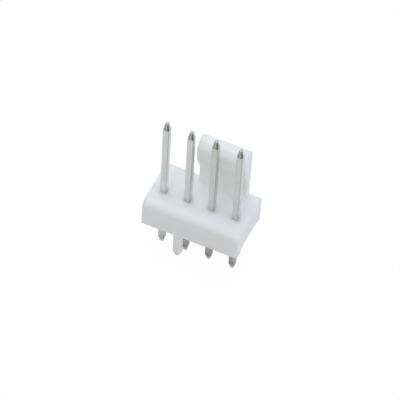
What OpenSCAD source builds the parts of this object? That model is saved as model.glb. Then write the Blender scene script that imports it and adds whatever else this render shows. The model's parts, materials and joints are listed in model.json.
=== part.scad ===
// Friction-lock pin header: a one-piece white housing with a row of square pins pressed through it.
// X runs along the row, Y points back to the lock wall, Z points up from the board.
// The origin is the middle of the pin row, on the face of the board. All sizes are in millimetres.

/* [Row] */
// Number of pins in the row
pin_count = 4; // [3:1:12]
// Distance from one pin to the next
pitch = 2.54; // [2:0.01:4]

/* [Pins] */
// Side of the square pin wire
pin_w = 0.64; // [0.4:0.01:0.8]
// Radius of the wire's long edges
wire_r = 0.1; // [0.02:0.01:0.12]
// Height of the pin tips above the board
pin_top = 13.15; // [10.5:0.05:18]
// Length of the taper at the upper end
tip_l = 0.85; // [0.2:0.05:1.5]
// Width of the flat left on the upper end
tip_w = 0.34; // [0.1:0.01:0.38]
// Length of the solder tails below the board
tail_l = 4.55; // [2:0.05:6]
// Length of the taper at the lower end
tail_tip_l = 0.65; // [0.2:0.05:1.2]
// Width of the flat left on the lower end
tail_tip_w = 0.34; // [0.1:0.01:0.38]
// Gap between a pin and its hole, on each side
pin_clear = 0.01; // [0:0.005:0.03]

/* [Base] */
// Height of the base above the board
base_h = 3.2; // [2:0.1:5]
// Distance from the pin row to the front face
base_front = 2.31; // [2:0.01:4]
// Distance from the pin row to the back face
base_back = 3.29; // [3:0.01:5]
// Radius of the upper front edge
front_r = 0.65; // [0.1:0.05:0.8]

/* [Feet] */
// Height of the hollow between the front foot and the back foot
hollow_h = 0.44; // [0.1:0.02:0.8]
// Width of the front foot's flat
front_foot_w = 0.86; // [0.6:0.02:1.1]
// Width of the slope behind the front foot
front_slope_w = 0.4; // [0.1:0.05:0.5]
// Width of the back foot's flat
back_foot_w = 0.3; // [0.1:0.05:0.8]
// Width of the slope ahead of the back foot
back_slope_w = 1.1; // [0.2:0.05:1.4]

/* [Lock wall] */
// Length of the wall along the row
wall_w = 5.0; // [3:0.1:6]
// Distance from the wall's right end to the base's right end
wall_inset = 1.33; // [0:0.01:1.6]
// Height of the wall's top above the board
wall_top = 9.95; // [9:0.05:12]
// Thickness of the wall below the lip
wall_t = 0.78; // [0.5:0.02:1.2]
// Thickness of the wall at the lip's upper edge
lip_t = 1.81; // [1.6:0.01:2]
// Height of the lip's front face
lip_h = 1.7; // [0.6:0.05:2]
// Set-back of the lip's lower edge from its upper edge
lip_draft = 0.09; // [0:0.01:0.2]
// Height of the slope from the lip down to the wall
undercut_h = 2; // [0.5:0.05:2.6]
// Height of the lead-in slope above the lip
lead_h = 0.75; // [0.5:0.05:0.9]
// Depth of the lead-in slope
lead_d = 0.5; // [0.3:0.01:0.55]
// Radius between the lead-in slope and the wall's top
lead_r = 0.5; // [0.1:0.05:0.6]
// Radius between the lead-in slope and the lip's front face
lip_r = 0.9; // [0.1:0.05:1]
// Radius of the wall's upper back edge
back_r = 0.8; // [0.1:0.05:0.8]

/* [Locating peg] */
// Number of the pin that the peg stands in front of
peg_pin = 2; // [1:1:3]
// Diameter of the peg
peg_d = 0.94; // [0.8:0.02:1]
// Distance from the peg's axis to the front face, which cuts the peg flush
peg_setback = 0.36; // [0.34:0.01:0.5]
// Length of the peg below the board
peg_l = 3.15; // [1.5:0.05:5]
// Length of the peg's tapered end
peg_tip_l = 0.55; // [0.2:0.05:1]
// Diameter of the flat on the peg's end
peg_tip_d = 0.36; // [0.2:0.02:0.6]

/* [Hidden] */
$fn = 64;

// Overlap that lets a cut run clear of the face that it opens
cut_over = 1;
// Depth to which the wall and the peg reach into the base that they are moulded with
root = 1;
// Angle by which a round reaches past its corner's turn, into the section
round_over = 5;

base_l = pin_count * pitch;
hole_w = pin_w + 2 * pin_clear;

// Corners of the hollow under the base, from front to back
front_slope_y = front_foot_w - base_front;
hollow_front_y = front_slope_y + front_slope_w;
back_slope_y = base_back - back_foot_w;
hollow_back_y = back_slope_y - back_slope_w;

// Corners of the wall's section, from the top down
wall_y = base_back - wall_t;
lip_y = base_back - lip_t;
lip_top_z = wall_top - lead_h;
lip_low_z = lip_top_z - lip_h;
undercut_z = lip_low_z - undercut_h;
lip_corner = [lip_y, lip_top_z];
lead_corner = [lip_y + lead_d, wall_top];
wall_x = base_l / 2 - wall_inset - wall_w;

// Angle of the lead-in slope from the level, and of the lip's front face from the upright
lead_turn = atan2(lead_h, lead_d);
lip_turn = atan2(lip_draft, lip_h);

// Distances from the corners of the lead-in slope to where their rounds begin
lead_tangent = lead_r * tan(lead_turn / 2);
lip_tangent = lip_r * tan((90 - lead_turn + lip_turn) / 2);

// Points where the rounds of the two sections start and end
front_start = [-base_front, base_h - front_r];
front_end = [front_r - base_front, base_h];
lip_start = along(lip_corner, lip_turn - 90, lip_tangent);
lip_end = along(lip_corner, lead_turn, lip_tangent);
lead_start = along(lead_corner, lead_turn, -lead_tangent);
lead_end = along(lead_corner, 0, lead_tangent);
back_start = [base_back - back_r, wall_top];
back_end = [base_back, wall_top - back_r];

peg_y = peg_setback - base_front;

// Point at a distance from another, in a direction given as an angle
function along(point, angle, distance) = point + distance * [cos(angle), sin(angle)];

// Place of a pin along the row, counted from 1 at the left
function pin_x(i) = (i - (pin_count + 1) / 2) * pitch;

// Extrudes a section drawn in Y and Z along X, from x0
module along_row(x0, length)
    translate([x0, 0, 0])
        rotate([90, 0, 90])
            linear_extrude(length)
                children();

// Round of a section's corner: the part of a circle that faces the corner, between two angles
module corner_round(centre, r, start, end)
    intersection() {
        translate(centre)
            circle(r);
        polygon([
            centre,
            along(centre, start - round_over, 2 * r),
            along(centre, end + round_over, 2 * r)
        ]);
    }

// Section of the base: a block with a round upper front edge and a hollow between two feet
module base_section() {
    polygon([
        [-base_front, 0],
        [front_slope_y, 0],
        [hollow_front_y, hollow_h],
        [hollow_back_y, hollow_h],
        [back_slope_y, 0],
        [base_back, 0],
        [base_back, base_h],
        front_end,
        front_start
    ]);
    corner_round(front_end - [0, front_r], front_r, 90, 180);
}

// Section of the lock wall: thin below, with a forward lip and a lead-in slope on top
module wall_section() {
    polygon([
        [base_back, base_h - root],
        back_end,
        back_start,
        lead_end,
        lead_start,
        lip_end,
        lip_start,
        [lip_y + lip_draft, lip_low_z],
        [wall_y, undercut_z],
        [wall_y, base_h - root]
    ]);
    corner_round(back_start - [0, back_r], back_r, 0, 90);
    corner_round(lead_end - [0, lead_r], lead_r, 90, 90 + lead_turn);
    corner_round(along(lip_start, lip_turn, lip_r), lip_r, 90 + lead_turn, 180 + lip_turn);
}

// Round peg with a tapered end, cut flush with the front face of the base
module locating_peg()
    intersection() {
        translate([pin_x(peg_pin), peg_y, -peg_l]) {
            cylinder(h = peg_tip_l, d1 = peg_tip_d, d2 = peg_d);
            translate([0, 0, peg_tip_l])
                cylinder(h = peg_l - peg_tip_l + root, d = peg_d);
        }
        translate([pin_x(peg_pin) - peg_d, -base_front, -peg_l])
            cube([2 * peg_d, peg_d + peg_setback, peg_l + root]);
    }

// Square hole that a pin is pressed through
module pin_hole(i)
    translate([pin_x(i) - hole_w / 2, -hole_w / 2, -cut_over])
        cube([hole_w, hole_w, base_h + 2 * cut_over]);

module housing()
    color("whitesmoke")
        difference() {
            union() {
                along_row(-base_l / 2, base_l)
                    base_section();
                along_row(wall_x, wall_w)
                    wall_section();
                locating_peg();
            }
            for (i = [1:pin_count])
                pin_hole(i);
        }

// Side view of a pin: straight wire with a taper at each end
module pin_side()
    polygon([
        [-tail_tip_w / 2, -tail_l],
        [tail_tip_w / 2, -tail_l],
        [pin_w / 2, tail_tip_l - tail_l],
        [pin_w / 2, pin_top - tip_l],
        [tip_w / 2, pin_top],
        [-tip_w / 2, pin_top],
        [-pin_w / 2, pin_top - tip_l],
        [-pin_w / 2, tail_tip_l - tail_l]
    ]);

// Section of the pin wire: a square with round corners
module wire_section() {
    square([pin_w, pin_w - 2 * wire_r], center = true);
    square([pin_w - 2 * wire_r, pin_w], center = true);
    for (x = [-1, 1], y = [-1, 1])
        translate([x, y] * (pin_w / 2 - wire_r))
            circle(wire_r);
}

// One pin: the wire, tapered on all four sides by the side view taken both ways
module contact_pin(i)
    color("silver")
        translate([pin_x(i), 0, 0])
            intersection() {
                translate([0, 0, -tail_l])
                    linear_extrude(tail_l + pin_top)
                        wire_section();
                along_row(-pin_w / 2, pin_w)
                    pin_side();
                rotate([0, 0, 90])
                    along_row(-pin_w / 2, pin_w)
                        pin_side();
            }

housing();
for (i = [1:pin_count])
    contact_pin(i);
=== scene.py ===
"""Dresses a packed pin header: a white nylon housing with a lock wall, and a row of tinned pins."""

import json
import logging
import math
from dataclasses import dataclass, field
from enum import Enum

import bpy
import numpy as np
from mathutils import Matrix, Vector


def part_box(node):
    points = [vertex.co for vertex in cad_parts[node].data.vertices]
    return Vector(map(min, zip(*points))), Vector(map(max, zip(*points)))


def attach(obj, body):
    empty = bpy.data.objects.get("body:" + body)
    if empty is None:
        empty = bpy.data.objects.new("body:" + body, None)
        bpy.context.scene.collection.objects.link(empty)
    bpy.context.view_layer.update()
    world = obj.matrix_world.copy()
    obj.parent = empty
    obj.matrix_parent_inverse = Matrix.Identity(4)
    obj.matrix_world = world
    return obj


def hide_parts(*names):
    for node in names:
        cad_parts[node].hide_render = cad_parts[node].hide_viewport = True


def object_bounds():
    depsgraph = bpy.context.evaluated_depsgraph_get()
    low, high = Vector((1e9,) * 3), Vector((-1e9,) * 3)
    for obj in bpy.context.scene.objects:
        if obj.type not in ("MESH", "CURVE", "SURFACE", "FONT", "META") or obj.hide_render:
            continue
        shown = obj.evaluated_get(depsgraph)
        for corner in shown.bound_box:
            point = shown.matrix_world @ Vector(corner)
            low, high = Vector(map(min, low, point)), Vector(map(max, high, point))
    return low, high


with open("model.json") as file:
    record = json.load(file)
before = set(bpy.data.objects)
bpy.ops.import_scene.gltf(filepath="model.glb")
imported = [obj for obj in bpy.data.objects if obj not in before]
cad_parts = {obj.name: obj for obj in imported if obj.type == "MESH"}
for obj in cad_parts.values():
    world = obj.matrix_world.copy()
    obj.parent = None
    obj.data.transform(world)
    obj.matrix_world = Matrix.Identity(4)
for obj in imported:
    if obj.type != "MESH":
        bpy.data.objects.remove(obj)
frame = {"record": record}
CAD_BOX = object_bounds()

LOG = logging.getLogger("pin_header")
MM = 0.001
BODY = "root"

Array = np.ndarray
Colour = tuple[float, float, float]
Socket = bpy.types.NodeSocket
Number = Socket | float

# Range that a noise value usually keeps to, and range of a share
NOISE_RANGE = (0.3, 0.7)
SHARE = (0.0, 1.0)

# Sockets of the mixing nodes, where several have the same name
TINT_FIRST, TINT_SECOND, TINT_RESULT = 6, 7, 2
BLEND_FIRST, BLEND_SECOND = 1, 2

# Quarter of a turn, angles at which the corners of a square start, and signs of two opposite sides
QUARTER = math.pi / 2
CORNER_STARTS = np.arange(4) * QUARTER
BOTH_SIDES = np.array([-1.0, 1.0])

# Painted reflection shade on each pin's front and on its sides, where they mirror the shaded wall
# and floor, and painted shade on its tail, as shares
PIN_PAINTED_SHADE = {
    "pin_1": (0.05, 0.0, 0.22),
    "pin_2": (0.1, 0.3, 0.95),
    "pin_3": (0.25, 0.5, 1.0),
    "pin_4": (0.2, 0.1, 0.95),
}


class Slot(Enum):
    """Material slots of the record that the pieces take their finish from."""

    NYLON = "nylon"
    TINNED_WIRE = "tinned_wire"


class Join(Enum):
    """Ways in which a raw solid is worked into the housing."""

    MOULDED_ON = "UNION"
    CUT_OUT = "DIFFERENCE"


class Mark(Enum):
    """Point attributes of a pin that its finish reads: painted shade, shadow and reflection, a
    darker cut tip, and matt roughness.
    """

    # Painted shade: dark lines along the wire's corners and a dark wedge on the tip
    CORNER = "corner"
    # Darker cut tip, and painted shade on the tail where it mirrors the floor's shadow
    CUT = "cut"
    # Painted contact shadow on the pin where it leaves the base
    FOOT_SHADOW = "foot"
    # Painted reflection shade on the faces of each pin
    PAINTED_REFLECTION_SHADE = "wear"
    MATT = "matt"


def mount(name: str) -> dict:
    """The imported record's mount of that name."""
    return next(m for m in frame["record"]["mounts"] if m["name"] == name)


def rounded_outline(corners: Array, radii: Array, steps: int) -> Array:
    """Closed outline of a polygon, with an arc in each corner that has a radius.

    The tangent length is the radius times the tangent of half the turn. The arc starts that far
    ahead of the corner, and the arm from its centre to its start turns through the corner's own
    turn in equal steps.

    Args:
        corners: Corners of the polygon, anticlockwise, two values a row.
        radii: Radius in each corner, where 0 keeps the corner sharp.
        steps: Points on each arc.

    Returns:
        Points of the outline, anticlockwise, two values a row.
    """
    into = corners - np.roll(corners, 1, axis=0)
    out = np.roll(corners, -1, axis=0) - corners
    into = into / np.linalg.norm(into, axis=1, keepdims=True)
    out = out / np.linalg.norm(out, axis=1, keepdims=True)
    turn = np.arctan2(into[:, 0] * out[:, 1] - into[:, 1] * out[:, 0], (into * out).sum(axis=1))
    start = corners - into * (radii * np.tan(np.abs(turn) / 2))[:, None]
    arm = np.stack([into[:, 1], -into[:, 0]], axis=1) * (radii * np.sign(turn))[:, None]
    share = np.linspace(0, 1, steps)
    cos = np.cos(turn[:, None] * share)
    sin = np.sin(turn[:, None] * share)
    across = (start - arm)[:, :1] + arm[:, :1] * cos - arm[:, 1:] * sin
    up = (start - arm)[:, 1:] + arm[:, :1] * sin + arm[:, 1:] * cos
    kept = (radii[:, None] > 0) | (share[None, :] == 0)
    return np.stack([across[kept], up[kept]], axis=1)


def row_rings(outline: Array, start: float, end: float, radius: float, steps: int) -> Array:
    """Rings of an outline in Y and Z, carried along X, with round edges at both ends.

    A ring at an angle on the end's round stands radius times one less its cosine from the end, and
    each of its points is drawn in by radius times one less its sine from both of the sides that
    meet there.

    Args:
        outline: Points of the outline, anticlockwise seen from +X.
        start: Place of the first end.
        end: Place of the last end.
        radius: Radius of the ends' edges.
        steps: Rings on each end's round.

    Returns:
        Rings of points, three values each.
    """
    side = np.roll(outline, -1, axis=0) - outline
    side = side / np.linalg.norm(side, axis=1, keepdims=True)
    ahead = np.stack([side[:, 1], -side[:, 0]], axis=1)
    behind = np.roll(ahead, 1, axis=0)
    mitre = (ahead + behind) / (1 + (ahead * behind).sum(axis=1, keepdims=True))
    turn = np.linspace(0, QUARTER, steps)
    draw = radius * (1 - np.sin(turn))
    run = radius * (1 - np.cos(turn))
    depth = np.concatenate([draw, draw[::-1]])
    station = np.concatenate([start + run, (end - run)[::-1]])
    ring = outline - depth[:, None, None] * mitre
    place = np.broadcast_to(station[:, None, None], (len(station), len(outline), 1))
    return np.concatenate([place, ring], axis=2)


def corner_angles(steps: int) -> Array:
    """Angle of each point on a rounded square, with that many points on each corner's arc."""
    return (CORNER_STARTS[:, None] + np.linspace(0, QUARTER, steps)).ravel()


def square_rings(half: Array, radius: Array, height: Array, centre_x: float, steps: int) -> Array:
    """Rounded squares stacked along Z.

    A point is the corner arc's centre, half less radius out on both axes, plus radius along the
    arc's angle.

    Args:
        half: Half the square's width at each ring.
        radius: Radius of its corners at each ring.
        height: Height of each ring.
        centre_x: Place of the stack along the row.
        steps: Points on each corner's arc.

    Returns:
        Rings of points, anticlockwise seen from +Z, three values each.
    """
    angle = corner_angles(steps)
    diagonal = np.repeat(CORNER_STARTS + QUARTER / 2, steps)
    corner = np.stack([np.cos(diagonal), np.sin(diagonal)], axis=1) * math.sqrt(2)
    arc = np.stack([np.cos(angle), np.sin(angle)], axis=1)
    flat = (half - radius)[:, None, None] * corner + radius[:, None, None] * arc
    flat = flat + np.array([centre_x, 0.0])
    level = np.broadcast_to(height[:, None, None], (len(height), len(angle), 1))
    return np.concatenate([flat, level], axis=2)


def ring_mesh(name: str, rings: Array) -> bpy.types.Mesh:
    """Closed skin over a stack of rings: quads between neighbours, and a flat cap on both ends.

    Args:
        name: Name of the mesh.
        rings: Rings of points, anticlockwise seen from the side that the stack grows towards.

    Returns:
        The mesh, with its faces outwards.
    """
    count, points = rings.shape[:2]
    index = np.arange(count * points).reshape(count, points)
    ahead = np.roll(index, -1, axis=1)
    quads = np.stack([index[:-1], ahead[:-1], ahead[1:], index[1:]], axis=2).reshape(-1, 4)
    caps = [index[0, ::-1].tolist(), index[-1].tolist()]
    mesh = bpy.data.meshes.new(name)
    mesh.from_pydata(rings.reshape(-1, 3).tolist(), [], quads.tolist() + caps)
    mesh.validate()
    return mesh


def placed(name: str, mesh: bpy.types.Mesh) -> bpy.types.Object:
    """New object at the origin.

    Args:
        name: Name of the object.
        mesh: Mesh that it shows.

    Returns:
        The object.
    """
    piece = bpy.data.objects.new(name, mesh)
    bpy.context.scene.collection.objects.link(piece)
    return piece


def worked(
    name: str, blank: bpy.types.Mesh, steps: list[tuple[Join, bpy.types.Mesh]]
) -> bpy.types.Mesh:
    """One mesh from a blank and the solids that are moulded onto it or cut out of it, in order.

    Args:
        name: Name of the finished mesh.
        blank: Closed mesh to start from.
        steps: How each further closed mesh is worked in.

    Returns:
        The finished mesh. The meshes that it was made from are removed.
    """
    work = placed(name, blank)
    tools = [placed(mesh.name, mesh) for _, mesh in steps]
    for (join, _), tool in zip(steps, tools):
        change = work.modifiers.new(tool.name, "BOOLEAN")
        change.operation = join.value
        change.solver = "EXACT"
        change.object = tool
    graph = bpy.context.evaluated_depsgraph_get()
    made = bpy.data.meshes.new_from_object(work.evaluated_get(graph))
    for raw in [work, *tools]:
        bpy.data.meshes.remove(raw.data)
    made.name = name
    return made


def blank_material(name: str) -> bpy.types.Material:
    """New material that is built from nodes.

    Args:
        name: Name of the material.

    Returns:
        The material.
    """
    material = bpy.data.materials.new(name)
    material.use_nodes = True
    return material


class Nodes:
    """Node tree of a material or world that is built up node by node."""

    def __init__(self, tree: bpy.types.NodeTree) -> None:
        """Empties the tree."""
        self.tree = tree
        tree.nodes.clear()

    def add(self, kind: str, **values: object) -> bpy.types.Node:
        """New node.

        Args:
            kind: The node's type.
            **values: Properties that are set on the node itself.

        Returns:
            The node.
        """
        node = self.tree.nodes.new(kind)
        for name, value in values.items():
            setattr(node, name, value)
        return node

    def link(self, source: Socket, target: Socket) -> None:
        """Joins an output to an input."""
        self.tree.links.new(source, target)

    def feed(self, target: Socket, value: Number) -> None:
        """Gives an input its value.

        Args:
            target: The input.
            value: A number, or the output that it comes from.
        """
        if isinstance(value, Socket):
            self.link(value, target)
        else:
            target.default_value = value

    def noise(self, where: Socket, scale: float, detail: float) -> Socket:
        """Value of a noise pattern.

        Args:
            where: Coordinates that the pattern reads, in metres.
            scale: Waves to the metre.
            detail: Octaves of finer noise.

        Returns:
            The pattern's value, about 0.5 on the whole.
        """
        node = self.add("ShaderNodeTexNoise")
        node.inputs["Scale"].default_value = scale
        node.inputs["Detail"].default_value = detail
        self.link(where, node.inputs["Vector"])
        return node.outputs["Fac"]

    def combine(self, operation: str, first: Number, second: Number = 0.0) -> Socket:
        """Result of an operation on values.

        Args:
            operation: The math node's name for it.
            first: A number, or the output that it comes from.
            second: A number, or the output that it comes from, where the operation takes two.

        Returns:
            The result.
        """
        node = self.add("ShaderNodeMath", operation=operation)
        self.feed(node.inputs[0], first)
        self.feed(node.inputs[1], second)
        return node.outputs[0]

    def mean(self, first: Socket, second: Socket) -> Socket:
        """Half the sum of two values."""
        return self.combine("MULTIPLY", self.combine("ADD", first, second), 0.5)

    def spread(
        self, value: Socket, source: tuple[float, float], low: Number, high: Number
    ) -> Socket:
        """Value carried over from one range to another, and held at its ends.

        Args:
            value: The value.
            source: Range that it comes from.
            low: Result at the range's start.
            high: Result at the range's end.

        Returns:
            The result.
        """
        node = self.add("ShaderNodeMapRange")
        self.link(value, node.inputs["Value"])
        self.feed(node.inputs["From Min"], source[0])
        self.feed(node.inputs["From Max"], source[1])
        self.feed(node.inputs["To Min"], low)
        self.feed(node.inputs["To Max"], high)
        return node.outputs["Result"]

    def span(self, value: Socket, low: float, high: float) -> Socket:
        """A noise value, spread from low to high over the range that it usually keeps to."""
        return self.spread(value, NOISE_RANGE, low, high)

    def tint(self, share: Socket, first: Socket | Colour, second: Colour) -> Socket:
        """Colour between two others.

        Args:
            share: 0 gives the first colour, 1 the second.
            first: A colour, or the output that it comes from.
            second: A colour.

        Returns:
            The mixed colour.
        """
        node = self.add("ShaderNodeMix", data_type="RGBA")
        self.link(share, node.inputs["Factor"])
        self.feed(node.inputs[TINT_FIRST], (*first, 1) if isinstance(first, tuple) else first)
        self.feed(node.inputs[TINT_SECOND], (*second, 1))
        return node.outputs[TINT_RESULT]

    def blend(self, share: Socket, first: Socket, second: Socket) -> Socket:
        """Shader between two others.

        Args:
            share: 0 gives the first shader, 1 the second.
            first: A shader.
            second: A shader.

        Returns:
            The mixed shader.
        """
        node = self.add("ShaderNodeMixShader")
        self.link(share, node.inputs["Fac"])
        self.link(first, node.inputs[BLEND_FIRST])
        self.link(second, node.inputs[BLEND_SECOND])
        return node.outputs["Shader"]

    def marked(self, mark: Mark) -> Socket:
        """Value of a mark at each point."""
        return self.add("ShaderNodeAttribute", attribute_name=mark.value).outputs["Fac"]

    def bump(self, height: Socket, depth: float, strength: float) -> Socket:
        """Normal of a surface with a fine relief.

        Args:
            height: Relief from 0 to 1.
            depth: Depth of the relief, in metres.
            strength: Share of it that shows.

        Returns:
            The normal.
        """
        node = self.add("ShaderNodeBump")
        node.inputs["Distance"].default_value = depth
        node.inputs["Strength"].default_value = strength
        self.link(height, node.inputs["Height"])
        return node.outputs["Normal"]

    def seen(self) -> Socket:
        """Test for a ray that shows the background.

        Returns:
            1 for a ray straight to the camera, mirrored or through glass, and 0 for others.
        """
        path = self.add("ShaderNodeLightPath").outputs
        mirrored = self.combine("MAXIMUM", path["Is Camera Ray"], path["Is Glossy Ray"])
        return self.combine("MAXIMUM", mirrored, path["Is Transmission Ray"])

    def surface(self, shader: Socket, kind: str = "ShaderNodeOutputMaterial") -> None:
        """Ends the tree with an output of a kind that shows the shader."""
        self.link(shader, self.add(kind).inputs["Surface"])


@dataclass(frozen=True)
class NylonFinish:
    """Natural white nylon as it leaves the mould: satin, and a little translucent."""

    cool: Colour = (0.86, 0.872, 0.885)
    warm: Colour = (0.875, 0.876, 0.868)
    cloud_scale: float = 260
    cloud_detail: float = 3
    grain_scale: float = 14000
    grain_detail: float = 2
    grain_depth: float = 0.004 * MM
    grain_strength: float = 0.25
    roughness: tuple[float, float] = (0.56, 0.66)
    refraction: float = 1.53
    glow: float = 0.55
    glow_spread: Colour = (1.0, 1.0, 1.0)
    glow_depth: float = 2.0 * MM
    edge_softness: float = 0.4 * MM
    edge_samples: int = 8
    hole_spacing: float = 2.54 * MM
    hole_half: float = 0.33 * MM

    def softness(self, nodes: Nodes, where: Socket) -> Socket:
        """Radius of the soft edges, which fades to nothing at the rims of the pin holes.

        The distance from a hole's axis is the larger one of those along and across the row. Along
        the row, it is half the spacing less the place folded back and forth at each half spacing.

        Args:
            nodes: The material's nodes.
            where: Coordinates, in metres.

        Returns:
            The radius.
        """
        place = nodes.add("ShaderNodeSeparateXYZ")
        nodes.link(where, place.inputs["Vector"])
        half = self.hole_spacing / 2
        along = nodes.combine("SUBTRACT", half, nodes.combine("PINGPONG", place.outputs["X"], half))
        away = nodes.combine("MAXIMUM", along, nodes.combine("ABSOLUTE", place.outputs["Y"]))
        fade = (self.hole_half, self.hole_half + self.edge_softness)
        return nodes.spread(away, fade, 0.0, self.edge_softness)

    def material(self) -> bpy.types.Material:
        """Cloudy colour, light scattered below the skin, soft edges and a fine moulded grain.

        Returns:
            The finish as a material.
        """
        material = blank_material(Slot.NYLON.value)
        nodes = Nodes(material.node_tree)
        where = nodes.add("ShaderNodeTexCoord").outputs["Object"]
        cloud = nodes.noise(where, self.cloud_scale, self.cloud_detail)
        grain = nodes.noise(where, self.grain_scale, self.grain_detail)
        colour = nodes.tint(nodes.span(cloud, *SHARE), self.cool, self.warm)
        soft = nodes.add("ShaderNodeBevel", samples=self.edge_samples)
        nodes.link(self.softness(nodes, where), soft.inputs["Radius"])
        relief = nodes.bump(grain, self.grain_depth, self.grain_strength)
        nodes.link(soft.outputs["Normal"], relief.node.inputs["Normal"])
        shader = nodes.add("ShaderNodeBsdfPrincipled")
        nodes.link(colour, shader.inputs["Base Color"])
        nodes.link(nodes.span(grain, *self.roughness), shader.inputs["Roughness"])
        nodes.link(relief, shader.inputs["Normal"])
        shader.inputs["IOR"].default_value = self.refraction
        shader.inputs["Subsurface Weight"].default_value = self.glow
        shader.inputs["Subsurface Radius"].default_value = self.glow_spread
        shader.inputs["Subsurface Scale"].default_value = self.glow_depth
        nodes.surface(shader.outputs["BSDF"])
        return material


@dataclass(frozen=True)
class TinFinish:
    """Tin plating on drawn square wire: satin, streaked along the wire, with painted shade, shadow
    and reflection at its marks.
    """

    light: Colour = (0.81, 0.81, 0.78)
    dull: Colour = (0.73, 0.73, 0.7)
    # Painted reflection shade: darker tin where a pin's faces mirror the shaded wall and floor
    reflection_shade_tone: Colour = (0.4, 0.4, 0.38)
    # Painted shade along the wire's corners, darkest on the tip's front right corner
    corner: Colour = (0.09, 0.09, 0.087)
    # Darker cut tip, and painted shade on the tail where it mirrors the floor's shadow under the
    # base
    cut: Colour = (0.35, 0.35, 0.34)
    # Painted contact shadow: a darker band on the pin just above the base's top face
    foot: Colour = (0.66, 0.66, 0.62)
    streak_scale: float = 9000
    streak_stretch: float = 0.06
    streak_detail: float = 2
    streak_depth: float = 0.003 * MM
    streak_strength: float = 0.2
    blotch_scale: float = 1500
    blotch_detail: float = 3
    roughness: tuple[float, float] = (0.15, 0.26)
    matt_roughness: float = 0.6

    def material(self) -> bpy.types.Material:
        """Streaks and blotches in colour and gloss, with the pin's marks laid over them in turn:
        painted shade, shadow and reflection, and a darker cut tip.

        Returns:
            The finish as a material.
        """
        material = blank_material(Slot.TINNED_WIRE.value)
        nodes = Nodes(material.node_tree)
        where = nodes.add("ShaderNodeTexCoord").outputs["Object"]
        stretch = nodes.add("ShaderNodeMapping")
        stretch.inputs["Scale"].default_value = (1, 1, self.streak_stretch)
        nodes.link(where, stretch.inputs["Vector"])
        streak = nodes.noise(stretch.outputs["Vector"], self.streak_scale, self.streak_detail)
        blotch = nodes.noise(where, self.blotch_scale, self.blotch_detail)
        dulled = nodes.span(nodes.mean(streak, blotch), *SHARE)
        colour = nodes.tint(dulled, self.light, self.dull)
        # Painted reflection shade, painted contact shadow, darker cut tip with painted tail shade,
        # and painted corner shade, in that order
        tones = {
            Mark.PAINTED_REFLECTION_SHADE: self.reflection_shade_tone,
            Mark.FOOT_SHADOW: self.foot,
            Mark.CUT: self.cut,
            Mark.CORNER: self.corner,
        }
        for mark, tone in tones.items():
            colour = nodes.tint(nodes.marked(mark), colour, tone)
        plain = nodes.span(blotch, *self.roughness)
        roughness = nodes.spread(nodes.marked(Mark.MATT), SHARE, plain, self.matt_roughness)
        relief = nodes.bump(streak, self.streak_depth, self.streak_strength)
        shader = nodes.add("ShaderNodeBsdfPrincipled")
        shader.inputs["Metallic"].default_value = 1.0
        nodes.link(colour, shader.inputs["Base Color"])
        nodes.link(roughness, shader.inputs["Roughness"])
        nodes.link(relief, shader.inputs["Normal"])
        nodes.surface(shader.outputs["BSDF"])
        return material


@dataclass(frozen=True)
class FloorFinish:
    """Plain pale floor that shows white, with a faint shadow."""

    colour: Colour = (0.8, 0.8, 0.8)
    shadow_seen: float = 0.03
    shadow_mirrored: float = 0.8

    def material(self) -> bpy.types.Material:
        """A matt floor that lights the object, and is whiter where it is seen or mirrored.

        Returns:
            The finish as a material.
        """
        material = blank_material("floor")
        nodes = Nodes(material.node_tree)
        matt = nodes.add("ShaderNodeBsdfDiffuse")
        matt.inputs["Color"].default_value = (*self.colour, 1)
        white = nodes.add("ShaderNodeEmission")
        mirrored = nodes.spread(nodes.seen(), SHARE, 1.0, self.shadow_mirrored)
        straight = nodes.add("ShaderNodeLightPath").outputs["Is Camera Ray"]
        share = nodes.spread(straight, SHARE, mirrored, self.shadow_seen)
        nodes.surface(nodes.blend(share, white.outputs["Emission"], matt.outputs["BSDF"]))
        return material


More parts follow.
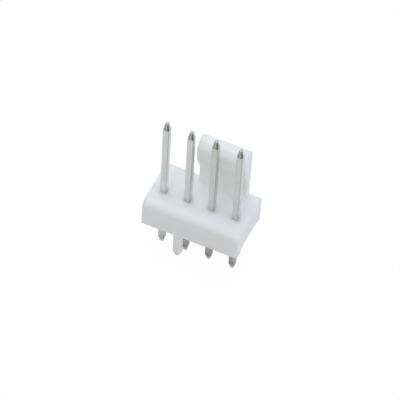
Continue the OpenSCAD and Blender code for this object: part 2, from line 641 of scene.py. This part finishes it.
@dataclass
class ContactPin:
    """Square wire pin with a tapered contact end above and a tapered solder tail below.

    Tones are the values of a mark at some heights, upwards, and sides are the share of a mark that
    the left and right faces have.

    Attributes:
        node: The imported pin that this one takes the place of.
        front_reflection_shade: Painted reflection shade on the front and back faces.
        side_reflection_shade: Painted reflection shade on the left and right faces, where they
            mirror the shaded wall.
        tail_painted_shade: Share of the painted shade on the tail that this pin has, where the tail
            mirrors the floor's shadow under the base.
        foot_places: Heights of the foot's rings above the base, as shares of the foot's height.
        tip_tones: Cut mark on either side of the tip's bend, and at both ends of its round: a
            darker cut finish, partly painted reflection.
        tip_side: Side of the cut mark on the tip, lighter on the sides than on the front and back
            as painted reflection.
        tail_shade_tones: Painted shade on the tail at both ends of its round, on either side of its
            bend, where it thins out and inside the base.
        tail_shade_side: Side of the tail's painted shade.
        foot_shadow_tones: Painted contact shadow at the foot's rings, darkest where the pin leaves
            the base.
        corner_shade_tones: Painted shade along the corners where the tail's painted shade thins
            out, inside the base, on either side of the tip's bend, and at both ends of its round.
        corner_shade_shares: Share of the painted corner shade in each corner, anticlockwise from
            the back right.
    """

    node: str
    # Painted reflection shade on the faces, and painted shade on the tail, as shares
    front_reflection_shade: float = 0.0
    side_reflection_shade: float = 0.0
    tail_painted_shade: float = 0.0
    tip_length: float = 0.85 * MM
    tip_width: float = 0.34 * MM
    tail_tip_length: float = 0.65 * MM
    tail_tip_width: float = 0.34 * MM
    corner_radius: float = 0.1 * MM
    tip_corner_radius: float = 0.24 * MM
    end_round: float = 0.1 * MM
    bend_round: float = 0.035 * MM
    foot_height: float = 0.6 * MM
    foot_places: tuple[float, ...] = (-1.0, 0.0, 0.5, 1.0)
    # Painted shade on the tail where it mirrors the floor's shadow under the base
    tail_shade_height: float = 0.8 * MM
    # Darker cut tip, partly painted reflection on its tapered faces
    tip_tones: tuple[float, ...] = (0.0, 0.8, 0.8, 0.9)
    tip_side: float = 0.25
    tail_shade_tones: tuple[float, ...] = (0.0, 0.0, 0.2, 1.0, 0.6, 0.0)
    tail_shade_side: float = 0.8
    # Painted contact shadow at the pin's foot
    foot_shadow_tones: tuple[float, ...] = (0.0, 1.0, 0.5, 0.0)
    # Painted shade along the wire's corners, darkest on the tip
    corner_shade_tones: tuple[float, ...] = (0.0, 0.3, 0.3, 1.0, 0.9, 0.0)
    corner_shade_shares: tuple[float, ...] = (0.35, 0.35, 0.35, 1.0)
    corner_steps: int = 7
    round_steps: int = 6
    low: Vector = field(init=False)
    high: Vector = field(init=False)
    tail_end: Array = field(init=False)
    tail_bend: Array = field(init=False)
    tail_shade_top: Array = field(init=False)
    foot: Array = field(init=False)
    tip_bend: Array = field(init=False)
    tip_end: Array = field(init=False)
    height: Array = field(init=False)

    def __post_init__(self) -> None:
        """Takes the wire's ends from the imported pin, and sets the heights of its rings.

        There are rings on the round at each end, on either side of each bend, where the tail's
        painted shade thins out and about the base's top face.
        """
        self.low, self.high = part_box(self.node)
        rise = self.end_round * (1 - np.cos(self.round_turn()))
        bend = self.bend_round * BOTH_SIDES
        base_top = mount("mating_pins")["pos_m"][2]
        self.tail_end = self.low.z + rise
        self.tail_bend = self.low.z + self.tail_tip_length + bend
        self.tail_shade_top = self.tail_bend[-1:] + self.tail_shade_height
        self.foot = base_top + self.foot_height * np.array(self.foot_places)
        self.tip_bend = self.high.z - self.tip_length + bend
        self.tip_end = self.high.z - rise[::-1]
        tail = [self.tail_end, self.tail_bend, self.tail_shade_top]
        self.height = np.concatenate([*tail, self.foot, self.tip_bend, self.tip_end])

    def round_turn(self) -> Array:
        """Angle of each ring on an end's round, from the end's flat to the taper."""
        return np.linspace(0, QUARTER, self.round_steps)

    def along(self, heights: list[Array], values: tuple[float, ...]) -> Array:
        """Values given at some heights, and on straight lines between them, at each ring.

        Args:
            heights: Heights that have a value, upwards.
            values: Their values. The first and last hold beyond the ends.

        Returns:
            The value at each ring.
        """
        return np.interp(self.height, np.concatenate(heights), values)

    def taper(self) -> Array:
        """1 at the rings of the tapers, 0 at those of the plain wire."""
        return self.along([self.tail_bend, self.tip_bend], (1.0, 0.0, 0.0, 1.0))

    def rings(self) -> Array:
        """Rounded squares from the tail's end to the tip.

        The half width follows a round at each end, a straight taper and the plain wire. The corner
        radius keeps its share of the half width, and has a larger one on the tapers.

        Returns:
            Rings of points, three values each.
        """
        half = (self.high.x - self.low.x) / 2
        bends = [self.low.z + self.tail_tip_length, self.high.z - self.tip_length]
        ends = [self.tail_tip_width / 2, half, half, self.tip_width / 2]
        width = np.interp(self.height, [self.low.z, *bends, self.high.z], ends)
        draw = self.end_round * (1 - np.sin(self.round_turn()))
        width[: len(draw)] -= draw
        width[-len(draw):] -= draw[::-1]
        radius = self.corner_radius + (self.tip_corner_radius - self.corner_radius) * self.taper()
        centre_x = (self.low.x + self.high.x) / 2
        return square_rings(width, radius * width / half, self.height, centre_x, self.corner_steps)

    def marks(self) -> dict[Mark, Array]:
        """Value of each mark at each point of each ring.

        A mark's value at a ring spreads round it by the share with which a point faces the front or
        back, and the painted corner shade by the sine of the place on the corner's arc.

        Returns:
            The values, a row for each ring.
        """
        taper = self.taper()
        inside = self.foot[:1]
        tail_round, tip_round = self.tail_end[[0, -1]], self.tip_end[[0, -1]]
        tail = [tail_round, self.tail_bend, self.tail_shade_top, inside]
        tip = [self.tip_bend, tip_round]
        # The cut mark holds the darker cut tip and the painted shade on the tail
        cut = self.tail_painted_shade * self.along(tail, self.tail_shade_tones) + self.along(tip, self.tip_tones)
        sides = (self.tail_shade_side, self.tip_side, self.tip_side, 1.0)
        side = self.along([self.tail_shade_top, inside, tip_round], sides)
        # Painted shade along the corners
        corner_shade_along = self.along([self.tail_shade_top, inside, *tip], self.corner_shade_tones)
        arc = np.sin(np.linspace(0, math.pi, self.corner_steps))
        facing = np.abs(np.sin(corner_angles(self.corner_steps)))
        # Painted reflection shade, one share on the front and back and another on the sides
        wear = self.side_reflection_shade + (self.front_reflection_shade - self.side_reflection_shade) * facing
        all_round, all_along = np.ones(len(facing)), np.ones(len(taper))
        return {
            Mark.CORNER: np.outer(corner_shade_along, np.outer(self.corner_shade_shares, arc)),
            Mark.CUT: np.outer(cut * side, all_round) + np.outer(cut * (1 - side), facing),
            Mark.FOOT_SHADOW: np.outer(self.along([self.foot], self.foot_shadow_tones), all_round),
            Mark.PAINTED_REFLECTION_SHADE: np.outer(all_along, wear),
            Mark.MATT: np.outer(np.maximum(taper, cut), all_round),
        }

    def build(self, finish: bpy.types.Material) -> bpy.types.Object:
        """Makes the pin with its marks, and puts it in its place.

        Args:
            finish: The plating's material.

        Returns:
            The pin.
        """
        pin = placed(f"{self.node}_wire", ring_mesh(self.node, self.rings()))
        for mark, values in self.marks().items():
            layer = pin.data.attributes.new(mark.value, "FLOAT", "POINT")
            layer.data.foreach_set("value", values.ravel().astype(np.float32))
        pin.data.shade_smooth()
        pin.modifiers.new("flat_faces", "WEIGHTED_NORMAL")
        pin.data.materials.append(finish)
        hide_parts(self.node)
        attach(pin, BODY)
        return pin


@dataclass
class Housing:
    """Moulding of one piece: base on two feet, lock wall with a forward lip, and a locating peg."""

    pins: tuple[str, ...]
    node: str = "housing"
    hole_clearance: float = 0.004 * MM
    hole_corner: float = 0.1 * MM
    front_radius: float = 0.65 * MM
    hollow_height: float = 0.44 * MM
    front_foot: float = 0.86 * MM
    front_slope: float = 0.4 * MM
    back_foot: float = 0.3 * MM
    back_slope: float = 1.1 * MM
    wall_width: float = 5.0 * MM
    wall_inset: float = 1.33 * MM
    wall_thickness: float = 0.78 * MM
    lip_thickness: float = 1.81 * MM
    lip_height: float = 1.7 * MM
    lip_draft: float = 0.09 * MM
    undercut_height: float = 2.0 * MM
    lead_height: float = 0.75 * MM
    lead_depth: float = 0.5 * MM
    lead_radius: float = 0.5 * MM
    lip_radius: float = 0.9 * MM
    back_radius: float = 0.8 * MM
    root: float = 1.0 * MM
    peg_tip_length: float = 0.55 * MM
    peg_tip_width: float = 0.36 * MM
    long_round: float = 0.06 * MM
    end_round: float = 0.05 * MM
    lip_softness: float = 0.6 * MM
    foot_fillet: float = 0.36 * MM
    foot_sunk: float = 0.01 * MM
    peg_end_round: float = 0.08 * MM
    peg_taper_round: float = 0.25 * MM
    round_steps: int = 6
    arc_steps: int = 12
    peg_points: int = 49
    sharp_from: float = math.radians(35)
    low: Vector = field(init=False)
    high: Vector = field(init=False)
    base_height: float = field(init=False)

    def __post_init__(self) -> None:
        """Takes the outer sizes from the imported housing, and the base's height from its mount."""
        self.low, self.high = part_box(self.node)
        self.base_height = mount("mating_pins")["pos_m"][2]

    def base_rings(self) -> Array:
        """The base's section, carried along the row.

        It is a block with a round upper front edge and a sloped hollow between two feet.

        Returns:
            Rings of points, from left to right.
        """
        front, back = self.low.y, self.high.y
        rise = front + self.front_foot
        drop = back - self.back_foot
        corners = np.array([
            (front, 0.0),
            (rise, 0.0),
            (rise + self.front_slope, self.hollow_height),
            (drop - self.back_slope, self.hollow_height),
            (drop, 0.0),
            (back, 0.0),
            (back, self.base_height),
            (front, self.base_height),
        ])
        radii = np.full(len(corners), self.long_round)
        radii[-1] = self.front_radius
        outline = rounded_outline(corners, radii, self.arc_steps)
        return row_rings(outline, self.low.x, self.high.x, self.end_round, self.round_steps)

    def wall_rings(self) -> Array:
        """The wall's section, carried along the row.

        It has a lip with a lead-in slope above and a slope below, a round back and a fillet at its
        foot, whose toe lies a hair below the base's top.

        Returns:
            Rings of points, from left to right.
        """
        back, top = self.high.y, self.high.z
        lip = back - self.lip_thickness
        lip_top = top - self.lead_height
        lip_low = lip_top - self.lip_height
        thin = back - self.wall_thickness
        toe = thin - 2 * self.foot_fillet
        buried = self.base_height - self.root
        corners = np.array([
            (back, buried),
            (back, top),
            (lip + self.lead_depth, top),
            (lip, lip_top),
            (lip + self.lip_draft, lip_low),
            (thin, lip_low - self.undercut_height),
            (thin, self.base_height),
            (toe, self.base_height - self.foot_sunk),
            (toe, buried),
        ])
        upper = [0.0, self.back_radius, self.lead_radius, self.lip_radius]
        lower = [self.lip_softness, self.lip_softness, self.foot_fillet, 0.0, 0.0]
        outline = rounded_outline(corners, np.array(upper + lower), self.arc_steps)
        end = self.high.x - self.wall_inset
        return row_rings(outline, end - self.wall_width, end, self.end_round, self.round_steps)

    def peg_rings(self) -> Array:
        """The peg's section, a circle with a flat at the base's front, carried up from its taper.

        Where the circle reaches past the front plane, the arc stops at the plane: its half gap is
        the angle whose cosine is the axis's distance from the plane over the radius.

        Returns:
            Rings of points, from the end upwards.
        """
        peg = mount("locating_peg")
        x, y = peg["pos_m"][0], peg["pos_m"][1]
        wide = peg["dims"]["r_mm"] * MM
        narrow = self.peg_tip_width / 2
        setback = y - self.low.y
        corners = np.array([
            (0.0, self.low.z),
            (narrow, self.low.z),
            (wide, self.low.z + self.peg_tip_length),
            (wide, self.root),
            (0.0, self.root),
        ])
        radii = np.array([0.0, self.peg_end_round, self.peg_taper_round, 0.0, 0.0])
        radius, height = rounded_outline(corners, radii, self.round_steps)[1:-1].T
        gap = np.arccos(np.minimum(setback / radius, 1.0))[:, None]
        share = np.linspace(0, 1, self.peg_points)
        angle = gap - QUARTER + share * (2 * math.pi - 2 * gap)
        across = x + radius[:, None] * np.cos(angle)
        deep = y + radius[:, None] * np.sin(angle)
        level = np.broadcast_to(height[:, None], angle.shape)
        return np.stack([across, deep, level], axis=2)

    def hole_rings(self, pin: str) -> Array:
        """A hole's section, the pin's own and a hair wider, carried right through the base.

        Args:
            pin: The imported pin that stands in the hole.

        Returns:
            Rings of points, from below upwards.
        """
        low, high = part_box(pin)
        height = np.array([-self.root, self.base_height + self.root])
        half = np.full(len(height), (high.x - low.x) / 2 + self.hole_clearance)
        radius = np.full(len(height), self.hole_corner)
        return square_rings(half, radius, height, (low.x + high.x) / 2, self.round_steps)

    def build(self, finish: bpy.types.Material) -> bpy.types.Object:
        """Moulds the housing and puts it in its place.

        Args:
            finish: The nylon's material.

        Returns:
            The housing.
        """
        steps = [
            (Join.MOULDED_ON, ring_mesh("lock_wall", self.wall_rings())),
            (Join.MOULDED_ON, ring_mesh("locating_peg", self.peg_rings())),
        ]
        for pin in self.pins:
            steps.append((Join.CUT_OUT, ring_mesh(f"hole_{pin}", self.hole_rings(pin))))
        mesh = worked(self.node, ring_mesh("base", self.base_rings()), steps)
        mesh.shade_smooth()
        mesh.set_sharp_from_angle(angle=self.sharp_from)
        moulding = placed("housing_moulding", mesh)
        moulding.modifiers.new("flat_faces", "WEIGHTED_NORMAL").keep_sharp = True
        mesh.materials.clear()
        mesh.materials.append(finish)
        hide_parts(self.node)
        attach(moulding, BODY)
        return moulding


@dataclass(frozen=True)
class Lamp:
    """Wide square lamp that adds a level of light to a face turned towards it."""

    name: str
    toward: tuple[float, float, float]
    level: float
    colour: Colour
    distance: float = 0.3
    size: float = 0.26

    def hang(self, aim: Vector) -> bpy.types.Object:
        """Hangs the lamp at its distance from a point, facing it.

        A lamp of power P lights a white face at distance d to a radiance of P over pi squared
        times d squared.

        Args:
            aim: Point that the lamp faces.

        Returns:
            The lamp.
        """
        data = bpy.data.lights.new(self.name, "AREA")
        data.energy = self.level * (math.pi * self.distance) ** 2
        data.size = self.size
        data.color = self.colour
        lamp = bpy.data.objects.new(self.name, data)
        toward = Vector(self.toward).normalized()
        lamp.location = aim + toward * self.distance
        lamp.rotation_euler = toward.to_track_quat("Z", "Y").to_euler()
        bpy.context.scene.collection.objects.link(lamp)
        return lamp


@dataclass
class Studio:
    """Camera, pale floor, even surround and four wide lamps, in front of plain white."""

    azimuth: float = math.radians(21.63)
    elevation: float = math.radians(50.63)
    roll: float = math.radians(3.676)
    distance: float = 280 * MM
    aim: tuple[float, float, float] = (0.0275 * MM, -0.125 * MM, 3.896 * MM)
    sensor: float = 36.0
    lens: float = 261.55
    nearest: float = 2.8 * MM
    floor_half: float = 0.6
    surround: Colour = (0.25, 0.25, 0.25)
    backdrop: Colour = (1.0, 1.0, 1.0)
    lamps: tuple[Lamp, ...] = (
        Lamp("top_lamp", (0.0, 0.0, 1.0), 0.53, (0.82, 0.9, 1.0)),
        Lamp("front_lamp", (0.0, -1.0, 0.35), 0.17, (1.0, 0.9, 0.8)),
        Lamp("right_lamp", (1.0, 0.0, 0.35), 0.36, (1.0, 0.97, 1.0)),
        Lamp("left_lamp", (-0.8, 0.6, 0.3), 0.42, (0.94, 0.97, 0.9)),
    )

    def camera(self) -> bpy.types.Object:
        """Sets the camera on a sphere round the aim point, turned by its roll about its own axis.

        Returns:
            The camera.
        """
        cos_e, sin_e = math.cos(self.elevation), math.sin(self.elevation)
        cos_a, sin_a = math.cos(self.azimuth), math.sin(self.azimuth)
        forward = Vector((-cos_e * sin_a, cos_e * cos_a, -sin_e))
        level = Vector((cos_a, sin_a, 0))
        upward = level.cross(forward)
        right = math.cos(self.roll) * level + math.sin(self.roll) * upward
        up = math.cos(self.roll) * upward - math.sin(self.roll) * level
        data = bpy.data.cameras.new("camera")
        data.sensor_width = self.sensor
        data.lens = self.lens
        data.clip_start = self.nearest
        camera = bpy.data.objects.new("camera", data)
        turn = Matrix((right, up, -forward)).transposed()
        place = Vector(self.aim) - self.distance * forward
        camera.matrix_world = Matrix.LocRotScale(place, turn, None)
        bpy.context.scene.collection.objects.link(camera)
        bpy.context.scene.camera = camera
        return camera

    def floor(self) -> bpy.types.Object:
        """Lays a flat square floor under the object's lowest point.

        Returns:
            The floor.
        """
        side = BOTH_SIDES * self.floor_half
        x, y = (grid.ravel() for grid in np.meshgrid(side, side))
        points = np.stack([x, y, np.full(len(x), CAD_BOX[0].z)], axis=1)
        mesh = bpy.data.meshes.new("floor")
        mesh.from_pydata(points.tolist(), [], [(0, 1, 3, 2)])
        mesh.materials.append(FloorFinish().material())
        floor = placed("floor", mesh)
        return floor

    def light(self) -> None:
        """Lights the object evenly from all round and with the lamps, and shows plain white."""
        world = bpy.data.worlds.new("surround")
        bpy.context.scene.world = world
        world.use_nodes = True
        nodes = Nodes(world.node_tree)
        even = nodes.add("ShaderNodeBackground")
        even.inputs["Color"].default_value = (*self.surround, 1)
        white = nodes.add("ShaderNodeBackground")
        white.inputs["Color"].default_value = (*self.backdrop, 1)
        shown = nodes.blend(nodes.seen(), even.outputs["Background"], white.outputs["Background"])
        nodes.surface(shown, "ShaderNodeOutputWorld")
        for lamp in self.lamps:
            lamp.hang(Vector(self.aim))

    def build(self) -> None:
        """Makes the camera, floor and light, with plain view settings."""
        bpy.context.scene.view_settings.view_transform = "Standard"
        self.camera()
        self.floor()
        self.light()


def main() -> None:
    """Builds the studio, the housing and the pins in order, and reports each piece."""
    logging.basicConfig(level=logging.INFO, format="%(message)s")
    Studio().build()
    nylon = NylonFinish().material()
    tin = TinFinish().material()
    pieces = [Housing(tuple(PIN_PAINTED_SHADE)).build(nylon)]
    pieces += [ContactPin(node, *wear).build(tin) for node, wear in PIN_PAINTED_SHADE.items()]
    for piece in pieces:
        LOG.info("%s: %d faces", piece.name, len(piece.data.polygons))


if __name__ == "__main__":
    main()
